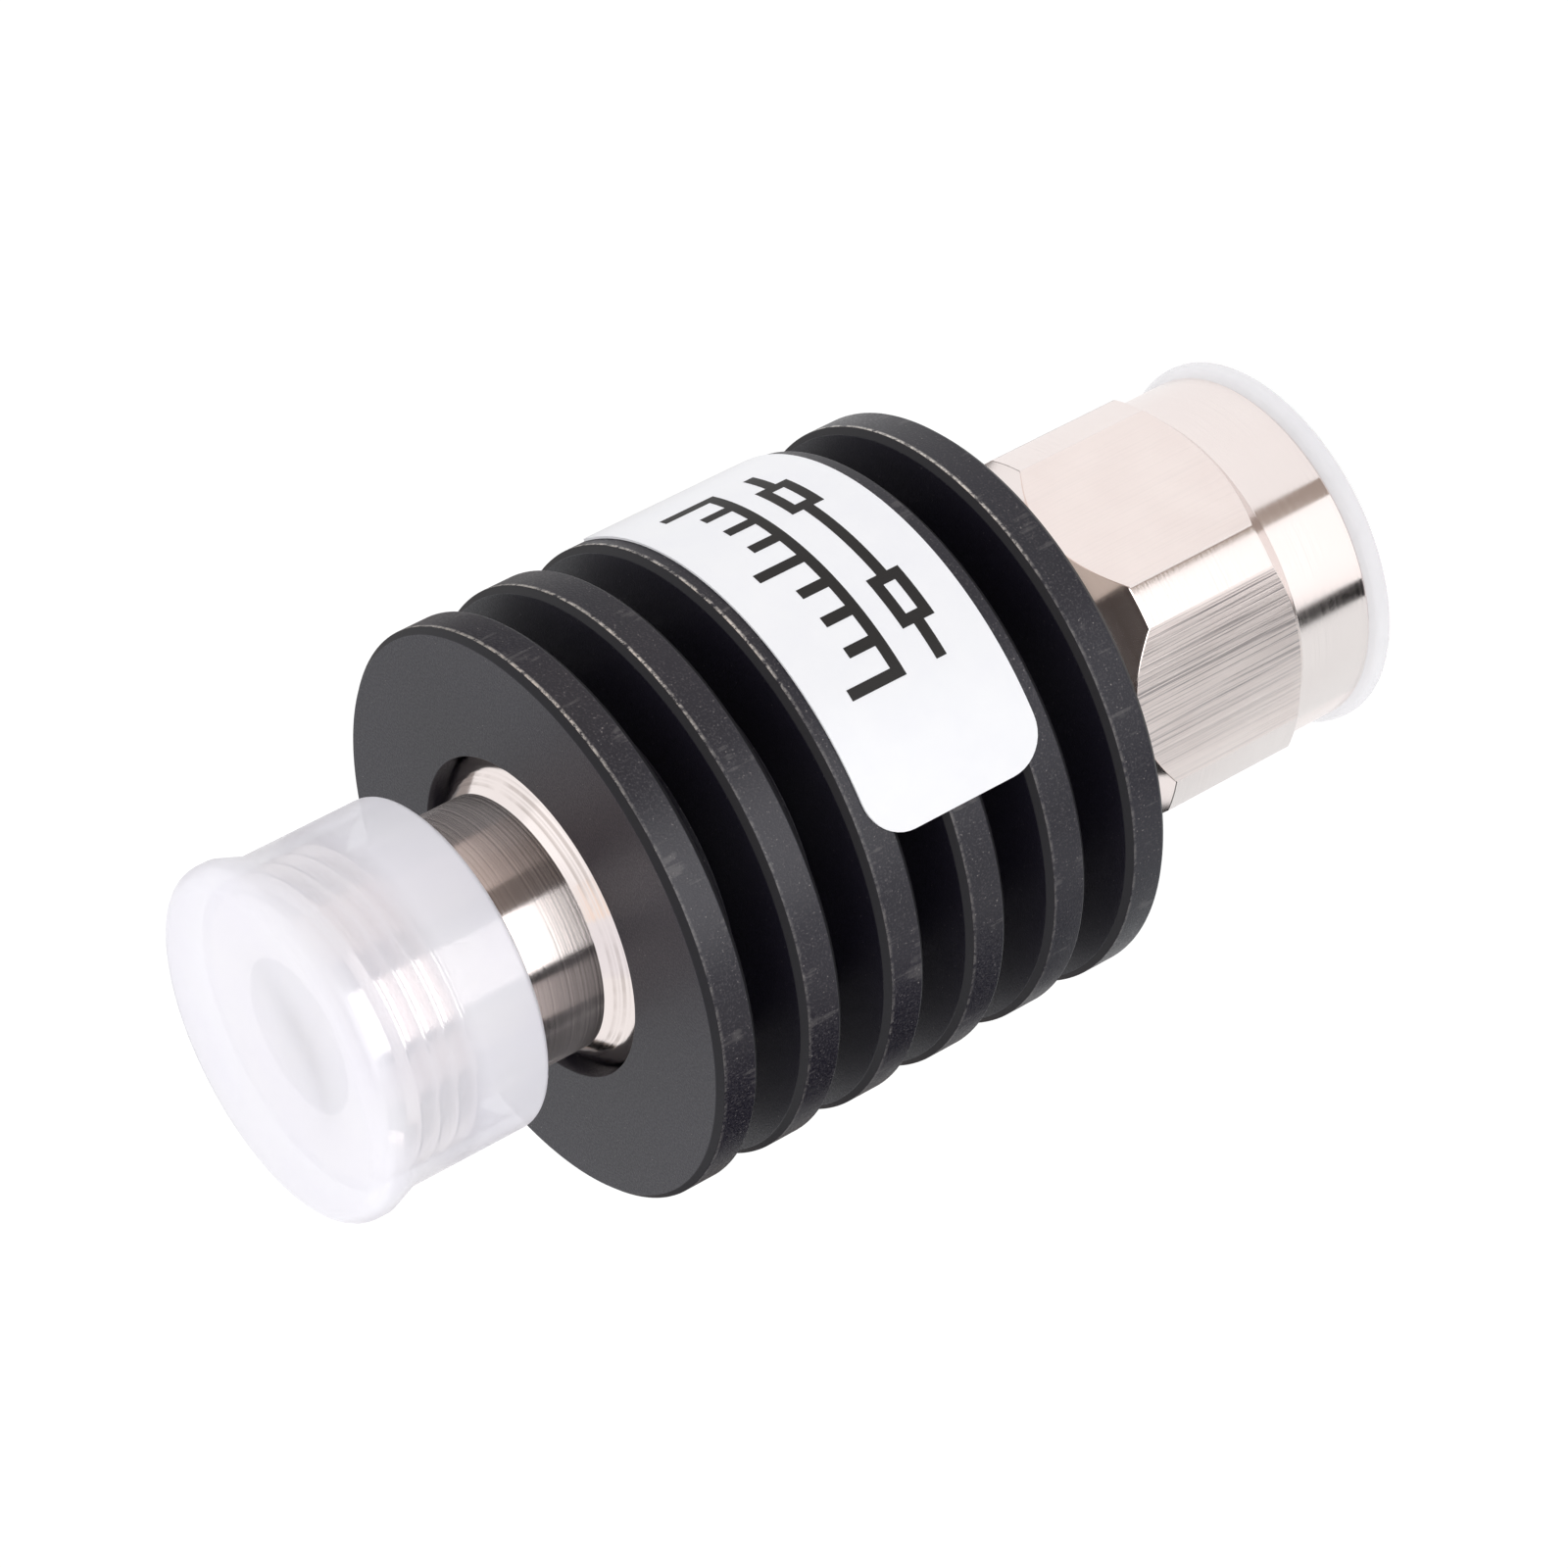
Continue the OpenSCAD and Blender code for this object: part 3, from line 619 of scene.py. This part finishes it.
def socket():
    """The socket's shell: spigot, collar, chamfered hexagon, barrel and a threaded end with a real helix."""
    seat = SHELL_Z0 + SPIGOT_LEN
    hex_z = seat + COLLAR_T
    hex_top = hex_z + HEX_H
    thread_z = RIM_Z - THREAD_LEN
    core_z = thread_z + (THREAD_CORE_R - BARREL_R) / THREAD_RUN_IN
    mate_z = RIM_Z - MATE_DEPTH
    bead_top = SHELL_Z0 + BEAD_T
    shell = turned([
        (BEAD_R, SHELL_Z0), (SPIGOT_R, SHELL_Z0), (SPIGOT_R, seat), (HEX_R, seat), (HEX_R, hex_z),
        (BARREL_R, hex_z), (BARREL_R, thread_z), (THREAD_CORE_R, core_z), (THREAD_CORE_R, RIM_Z),
        (SOCKET_BORE_R, RIM_Z), (SOCKET_BORE_R, mate_z), (LINE_R, mate_z), (LINE_R, bead_top),
        (BEAD_R, bead_top)])
    inside = BARREL_R - HEX_OVERLAP
    hexagon = turned([(inside, hex_z), (HEX_R, hex_z), (HEX_R, hex_top - HEX_CHAMFER_H),
                      (BARREL_R, hex_top), (inside, hex_top)])
    for face in hexagon.faces:
        face.material_index = HEX_CHAMFER_INDEX
    mill_flats(hexagon, HEX_AF, HEX_TURN)

    # The ridge rises from the barrel, and falls at the rim's chamfer
    def limit(z):
        return min(THREAD_R, BARREL_R + THREAD_RUN_IN * max(z - thread_z, 0),
                   THREAD_R - THREAD_CHAMFER + max(RIM_Z - z, 0))

    ridge = thread_ridge(THREAD_CORE_R, THREAD_R, thread_z + RIDGE_START, RIM_Z - RIDGE_END, limit)
    piece("socket_barrel", [shell, hexagon, ridge], [BARREL_NICKEL, MILLED, SCORED_NICKEL], "main_body",
          ["socket_shell"])


def coupling_nut():
    """A hexagon milled on round bar, with a long chamfer behind, a round ring in front and a thread."""
    strip_z = NUT_Z0 + RING_LEN + NUT_R - RING_R
    lip_z = NUT_Z1 - NUT_LIP_T
    mouth_r = NUT_RELIEF_R + NUT_MOUTH
    nut = turned([
        (RING_R - NUT_EDGE, NUT_Z0), (RING_R, NUT_Z0 + NUT_EDGE), (RING_R, NUT_Z0 + RING_LEN),
        (NUT_R, strip_z), (NUT_R, NUT_Z1 - NUT_BACK_LEN), (NUT_BACK_R, NUT_Z1), (NUT_LIP_R, NUT_Z1),
        (NUT_LIP_R, lip_z), (NUT_RELIEF_R, lip_z), (NUT_RELIEF_R, NUT_Z0 + NUT_MOUTH), (mouth_r, NUT_Z0)])
    mill_flats(nut, NUT_AF, NUT_TURN)
    for face in nut.faces:
        if CHAMFER_LEAN[0] < face.normal.z < CHAMFER_LEAN[1]:
            face.material_index = HEX_CHAMFER_INDEX

    # The ridge rises behind the mouth
    def limit(z):
        return max(NUT_THREAD_R, NUT_RELIEF_R - max(z - NUT_Z0 - NUT_MOUTH, 0))

    ridge = thread_ridge(NUT_RELIEF_R, NUT_THREAD_R, NUT_Z0 + NUT_RIDGE_START, NUT_Z0 + NUT_THREAD_LEN,
                         limit)
    piece("hexagon_nut", [nut, ridge], [NUT_NICKEL, MILLED, CHAMFER_NICKEL], "nut", ["coupling_nut"])


def socket_cap():
    """The soft cap over the thread, with a flared lip round its dished end."""
    lip_z = CAP_Z1 - CAP_LIP_LEN
    end_z = CAP_Z1 - CAP_END_T
    outline = [(CAP_BORE_R, CAP_Z0)]
    outline += arc((CAP_R - CAP_ROUND, CAP_Z0 + CAP_ROUND), CAP_ROUND, -90, 0)
    outline += [(CAP_R, lip_z - CAP_FLARE_LEN), (CAP_LIP_R, lip_z)]
    outline += arc((CAP_LIP_R - CAP_LIP_ROUND, CAP_Z1 - CAP_LIP_ROUND), CAP_LIP_ROUND, 0, 90, steps=8)
    dish_z = CAP_Z1 - CAP_DISH_H
    outline += [(CAP_DISH_R, CAP_Z1), (CAP_DISH_R - CAP_DISH_SLOPE_W, dish_z), (0, dish_z), (0, end_z),
                (CAP_BORE_R, end_z)]
    cap = piece("socket_dust_cap", [turned(outline)], [CAP_PLASTIC], "upper_cap", ["socket_cap"],
                edge_round=0)
    # Reflections leave the thin cap out, so that the metal under it mirrors the room
    cap.visible_glossy = False


def plug_cap():
    """The soft cap in the nut's mouth: a flat flange that the part stands on, and a thin skirt."""
    flange_top = FLANGE_Z0 + FLANGE_T
    outline = [(0, FLANGE_Z0)]
    outline += arc((FLANGE_R - CAP_ROUND, FLANGE_Z0 + CAP_ROUND), CAP_ROUND, -90, 0)
    outline += arc((FLANGE_R - CAP_ROUND, flange_top - CAP_ROUND), CAP_ROUND, 0, 90)
    outline += [(SKIRT_R, flange_top), (SKIRT_R, SKIRT_Z1 - SKIRT_EDGE), (SKIRT_R - SKIRT_EDGE, SKIRT_Z1),
                (SKIRT_R - SKIRT_T, SKIRT_Z1), (SKIRT_R - SKIRT_T, flange_top), (0, flange_top)]
    piece("plug_dust_cap", [turned(outline)], [FLANGE_PLASTIC], "lower_cap", ["plug_cap"],
          edge_round=0)


def bent_sheet(corners, inner_r, thick, corner_r=0):
    """A thin flat shape bent round the fins. The corners are distances round the fins and heights."""
    shape = bmesh.new()
    shape.faces.new([shape.verts.new((u, v, 0)) for u, v in corners])
    if corner_r:
        bmesh.ops.bevel(shape, geom=shape.verts[:], offset=corner_r, offset_type="OFFSET",
                        affect="VERTICES", segments=LABEL_CORNER_STEPS, profile=0.5, material=-1,
                        clamp_overlap=True)
    start = min(u for u, _ in corners)
    cells = math.ceil((max(u for u, _ in corners) - start) / LABEL_CELL)
    for i in range(1, cells):
        bmesh.ops.bisect_plane(shape, geom=shape.verts[:] + shape.edges[:] + shape.faces[:],
                               dist=CELL_CUT, plane_co=(start + i * LABEL_CELL, 0, 0), plane_no=(1, 0, 0))
    grown = bmesh.ops.extrude_face_region(shape, geom=shape.faces[:])
    lifted = [v for v in grown["geom"] if isinstance(v, bmesh.types.BMVert)]
    bmesh.ops.translate(shape, verts=lifted, vec=(0, 0, thick))
    for vert in shape.verts:
        turn = LABEL_TURN + vert.co.x / FIN_R
        radius = inner_r + vert.co.z
        vert.co = (radius * math.cos(turn), radius * math.sin(turn), vert.co.y)
    bmesh.ops.recalc_face_normals(shape, faces=shape.faces)
    return shape


def rectangle(u0, v0, u1, v1):
    """Corners of an upright rectangle."""
    return [(u0, v0), (u1, v0), (u1, v1), (u0, v1)]


def hollow_bars(u0, v0, u1, v1):
    """The four bars of a hollow rectangle."""
    low = v0 + STROKE
    high = v1 - STROKE
    return [(u0, v0, u1, low), (u0, high, u1, v1), (u0, low, u0 + STROKE, high),
            (u1 - STROKE, low, u1, high)]


def resistor_bars():
    """A plain sign: two resistors in a line."""
    bars = []
    for u in PAD_STARTS:
        bars += hollow_bars(u, PAD_ROW_Z - PAD_H / 2, u + PAD_LEN, PAD_ROW_Z + PAD_H / 2)
    ends = [PRINT_START, *(u for start in PAD_STARTS for u in (start, start + PAD_LEN)), PRINT_END]
    for u0, u1 in zip(ends[::2], ends[1::2]):
        bars.append((u0, PAD_ROW_Z - STROKE / 2, u1, PAD_ROW_Z + STROKE / 2))
    return bars


def tick_bars():
    """A row of ticks on a line, with some longer than the rest."""
    row_end = PRINT_START + (TICK_COUNT - 1) * TICK_STEP + STROKE
    bars = [(PRINT_START, TICK_ROW_Z - STROKE, row_end, TICK_ROW_Z)]
    for i in range(TICK_COUNT):
        u = PRINT_START + i * TICK_STEP
        height = TICK_H if i % LONG_TICK_EVERY else LONG_TICK_H
        bars.append((u, TICK_ROW_Z, u + STROKE, TICK_ROW_Z + height))
    return bars


def label():
    """The white film round the fins, and on it plain signs in place of print."""
    inner = FIN_R + LABEL_GAP
    half = LABEL_LEN / 2
    film = bent_sheet(rectangle(-half, LABEL_Z0, half, LABEL_Z1), inner, LABEL_T, LABEL_CORNER)
    piece("label_film", [film], [FILM], "main_body", ["label"], edge_round=0)
    signs = resistor_bars() + tick_bars()
    bars = [bent_sheet(rectangle(*bar), inner + LABEL_T, PRINT_T) for bar in signs]
    piece("label_print", bars, [INK], "main_body", [], edge_round=0)


def dress_inner_pieces():
    """Finishes for the CAD nodes that stay as they are."""
    finishes = {
        GOLD: ["socket_contact", "plug_contact", "socket_tab", "plug_tab"],
        BEAD: ["socket_bead", "plug_bead"], BARREL_NICKEL: ["plug_shell"], SPRING: ["snap_ring"],
        SILICONE: ["gasket"], BRASS: ["carrier_base", "carrier_cover"], ALUMINA: ["attenuator_chip"]}
    for material, nodes in finishes.items():
        for node in nodes:
            mesh = frame["nodes"][node].data
            mesh.materials.clear()
            mesh.materials.append(material)


# Stage

# The photograph's camera, fitted to the rims of the fins: the point it looks at, its distance, its side in
# degrees round the axis, its elevation, its roll and its lens
CAMERA_AIM = (0.08, -0.06, 30.87)
CAMERA_DISTANCE = 300.9
CAMERA_SIDE = -126
CAMERA_ELEVATION = math.radians(27.2)
CAMERA_ROLL = math.radians(-117.25)
CAMERA_LENS = 141.4
CAMERA_SENSOR = 36
CAMERA_NEAR = 10
FLOOR_SIZE = 8000
FLOOR_DROP = 0.05
# Softboxes: name, side in degrees, distance, height, size, watts, and whether metal mirrors them
SOFTBOXES = (
    ("key", -141, 450, 150, 240, 0.04, False),
    ("fill", 134, 450, 120, 240, 0.28, False),
    ("top", 60, 40, 600, 260, 0.2, True),
)
# Cards: their lift over the floor, the most degrees between two folds, and the side away from the camera
CARD_LIFT = 0.3
CARD_STEP = 2
BACK_SIDE = CAMERA_SIDE + 180
# Stretches of floor, by their distances from the piece that mirrors them
CLOSE_BY = (0.3, 45)
BETWEEN = (45, 85)
FURTHER_OUT = (85, 300)
ALL_ALONG = (0.3, 300)
# Walls, by their heights, and how far from the axis they stand
KERB = (0, 30)
BESIDE_BARREL = (42, 58)
LOW_WALL = (0, 110)
MIDDLE_WALL = (110, 330)
HIGH_WALL = (330, 620)
WALL_DISTANCE = 300
BESIDE_DISTANCE = 80
# Colours that more than one card has
WHITE_CARD = "#ffffff"
BROWN_CARD = "#8c827c"
DARK_CARD = "#0c0c0d"
BLACK_CARD = "#030303"
# Bands of floor that the nut's ring mirrors: name, places on the ring in degrees from its side towards the
# camera, and the colour and strength of their light
RING_BANDS = (
    ("brown", (-9, -3), "#a3968c", 1.0),
    ("white", (-3, 25), WHITE_CARD, 1.18),
    ("black", (25, 31), BLACK_CARD, 1.0),
    ("pale", (31, 70), "#f4f8f9", 1.0),
)
# Bands that the barrel mirrors, and with them the heights of the wall behind the floor
BARREL_BANDS = (
    ("dim_brown", (-70, -42), KERB, "#6a6461", 1.0),
    ("pale_brown", (-42, -17), LOW_WALL, "#d9ccc5", 1.25),
    ("dark_brown", (-17, -5), LOW_WALL, BROWN_CARD, 1.1),
    ("white", (-5, 20), LOW_WALL, WHITE_CARD, 4.2),
    ("black", (20, 25), LOW_WALL, BLACK_CARD, 1.0),
    ("pale_grey", (25, 42), LOW_WALL, "#d2cbc9", 1.1),
    ("dark_grey", (42, 48), LOW_WALL, DARK_CARD, 1.0),
    ("foot_grey", (48, 70), KERB, DARK_CARD, 1.0),
)
# Places of the dark cards nearer to the barrel, on the floor and beside it
DARK_FOOT = (42, 70)
DARK_BESIDE = (49, 75)
# Bands that round pieces mirror to the side away from the camera: name, places from that side, and colour
BANDS_BEHIND = (
    ("brown", (-19, -9), BROWN_CARD),
    ("black", (-1, 3), BLACK_CARD),
    ("grey", (9, 19), "#9c9693"),
)
# Walls towards the camera, over the barrel's bands, which the chamfers mirror
UPPER_WALLS = (
    ("pale_wall", (-30, -6), MIDDLE_WALL, "#c4b9b0", 1.0),
    ("dark_wall", (-6, 25), MIDDLE_WALL, "#3d3633", 1.0),
    ("high_white", (-45, -4), HIGH_WALL, WHITE_CARD, 1.14),
    ("high_beige", (-4, 18), HIGH_WALL, "#ffeee0", 1.04),
    ("high_pale", (18, 45), HIGH_WALL, "#fbfbff", 0.96),
)


def round_the_part(turn, distance, height):
    """A point beside the part: its direction in degrees, its distance and its height in millimetres."""
    t = math.radians(turn)
    return Vector((distance * math.cos(t), distance * math.sin(t), height)) * MM


def stage_object(name, shape, material):
    """A stage object from a shape in metres."""
    mesh = bpy.data.meshes.new(name)
    shape.to_mesh(mesh)
    shape.free()
    mesh.materials.append(material)
    obj = bpy.data.objects.new(name, mesh)
    bpy.context.scene.collection.objects.link(obj)
    return obj


def seen_or_mirrored(tree):
    """One for rays from the camera, from gloss and through plastic, and zero for light on matt surfaces."""
    path = add(tree, "ShaderNodeLightPath").outputs
    seen = add(tree, "ShaderNodeMath", {0: path["Is Camera Ray"], 1: path["Is Glossy Ray"]},
               operation="MAXIMUM")
    return add(tree, "ShaderNodeMath", {0: seen.outputs[0], 1: path["Is Transmission Ray"]},
               operation="MAXIMUM").outputs[0]


def floor():
    """A wide pale floor. To the eye, to metal and through plastic it is white, and it keeps the shadow."""
    shape = bmesh.new()
    bmesh.ops.create_grid(shape, x_segments=1, y_segments=1, size=FLOOR_SIZE / 2 * MM)
    bmesh.ops.translate(shape, verts=shape.verts, vec=(0, 0, -FLOOR_DROP * MM))
    material = bpy.data.materials.new("pale_floor")
    tree = empty_tree(material)
    lit = add(tree, "ShaderNodeBsdfDiffuse", {"Color": colour("#f0f0f0")})
    shade = add(tree, "ShaderNodeBsdfDiffuse", {"Color": colour("#707070")})
    glow = add(tree, "ShaderNodeEmission", {"Color": colour("#ffffff"), "Strength": 0.9})
    white = add(tree, "ShaderNodeAddShader", {0: shade.outputs[0], 1: glow.outputs[0]})
    both = add(tree, "ShaderNodeMixShader",
               {0: seen_or_mirrored(tree), 1: lit.outputs[0], 2: white.outputs[0]})
    add(tree, "ShaderNodeOutputMaterial", {"Surface": both.outputs[0]})
    stage_object("floor", shape, material)


def world():
    """A plain white room, whose even light falls on the part from all sides."""
    room = bpy.data.worlds.new("room")
    bpy.context.scene.world = room
    tree = empty_tree(room)
    back = add(tree, "ShaderNodeBackground", {"Color": colour("#ffffff"), "Strength": 1.0})
    add(tree, "ShaderNodeOutputWorld", {"Surface": back.outputs[0]})


def softbox(name, turn, distance, height, size, watts, mirrored):
    """A square area light beside the part, turned towards its middle, which metal mirrors or doesn't."""
    light = bpy.data.lights.new(name, "AREA")
    light.size = size * MM
    light.energy = watts
    obj = bpy.data.objects.new(name, light)
    obj.location = round_the_part(turn, distance, height)
    obj.rotation_mode = "QUATERNION"
    obj.rotation_quaternion = (Vector(CAMERA_AIM) * MM - obj.location).to_track_quat("-Z", "Y")
    obj.visible_glossy = mirrored
    bpy.context.scene.collection.objects.link(obj)


def card(name, rows, shade, strength):
    """A card folded along rows of two points, which only metal and gloss reflect."""
    shape = bmesh.new()
    folds = [[shape.verts.new(point) for point in row] for row in rows]
    for one, two in zip(folds, folds[1:]):
        shape.faces.new((one[0], one[1], two[1], two[0]))
    material = bpy.data.materials.new(name)
    tree = empty_tree(material)
    glow = add(tree, "ShaderNodeEmission", {"Color": colour(shade), "Strength": strength})
    add(tree, "ShaderNodeOutputMaterial", {"Surface": glow.outputs[0]})
    obj = stage_object(name, shape, material)
    obj.visible_camera = False
    obj.visible_diffuse = False
    obj.visible_transmission = False
    obj.visible_shadow = False


def places_between(places):
    """Evenly spaced angles from the first of two angles to the second."""
    steps = math.ceil((places[1] - places[0]) / CARD_STEP)
    return [places[0] + (places[1] - places[0]) * i / steps for i in range(steps + 1)]


def floor_card(name, radius, places, stretch, shade, strength=1.0, side=CAMERA_SIDE):
    """The floor that a round piece mirrors to one side, by default to the camera. The places on the piece
    are angles in degrees from that side, and the stretch is how far from it the card starts and ends."""
    rows = []
    for place in places_between(places):
        start = round_the_part(side - place, radius, CARD_LIFT)
        rows.append([start + round_the_part(side - 2 * place, reach, 0) for reach in stretch])
    card(name, rows, shade, strength)


def wall_card(name, places, heights, shade, strength=1.0, side=CAMERA_SIDE, distance=WALL_DISTANCE):
    """A wall that a round piece mirrors to that side at those places, between two heights."""
    rows = [[round_the_part(side - 2 * place, distance, height) for height in heights]
            for place in places_between(places)]
    card(name, rows, shade, strength)


def cards():
    """What the bright metal mirrors: bands of white, grey, brown and black on the floor and on walls towards
    the camera, and a few behind the part."""
    for name, places, shade, strength in RING_BANDS:
        floor_card(name + "_by_ring", RING_R, places, CLOSE_BY, shade, strength)
    for name, places, heights, shade, strength in BARREL_BANDS:
        floor_card(name + "_by_barrel", BARREL_R, places, FURTHER_OUT, shade, strength)
        wall_card(name + "_wall", places, heights, shade, strength)
    floor_card("dark_by_barrel_foot", BARREL_R, DARK_FOOT, BETWEEN, DARK_CARD)
    wall_card("dark_beside_barrel", DARK_BESIDE, BESIDE_BARREL, DARK_CARD, distance=BESIDE_DISTANCE)
    for name, places, shade in BANDS_BEHIND:
        floor_card(name + "_behind", RING_R, places, ALL_ALONG, shade, side=BACK_SIDE)
        wall_card(name + "_wall_behind", places, LOW_WALL, shade, side=BACK_SIDE)
    for name, places, heights, shade, strength in UPPER_WALLS:
        wall_card(name, places, heights, shade, strength)


def camera():
    """The camera at the photograph's viewing angle."""
    data = bpy.data.cameras.new("camera")
    data.lens = CAMERA_LENS
    data.sensor_width = CAMERA_SENSOR
    data.clip_start = CAMERA_NEAR * MM
    obj = bpy.data.objects.new("camera", data)
    level = CAMERA_DISTANCE * math.cos(CAMERA_ELEVATION)
    offset = round_the_part(CAMERA_SIDE, level, CAMERA_DISTANCE * math.sin(CAMERA_ELEVATION))
    obj.location = Vector(CAMERA_AIM) * MM + offset
    obj.rotation_mode = "QUATERNION"
    obj.rotation_quaternion = (-offset).to_track_quat("-Z", "Y") @ Quaternion((0, 0, 1), CAMERA_ROLL)
    bpy.context.scene.collection.objects.link(obj)
    bpy.context.scene.camera = obj


heat_sink()
socket()
coupling_nut()
socket_cap()
plug_cap()
label()
dress_inner_pieces()

floor()
world()
for settings in SOFTBOXES:
    softbox(*settings)
cards()
camera()

bpy.context.scene.view_settings.view_transform = "Standard"
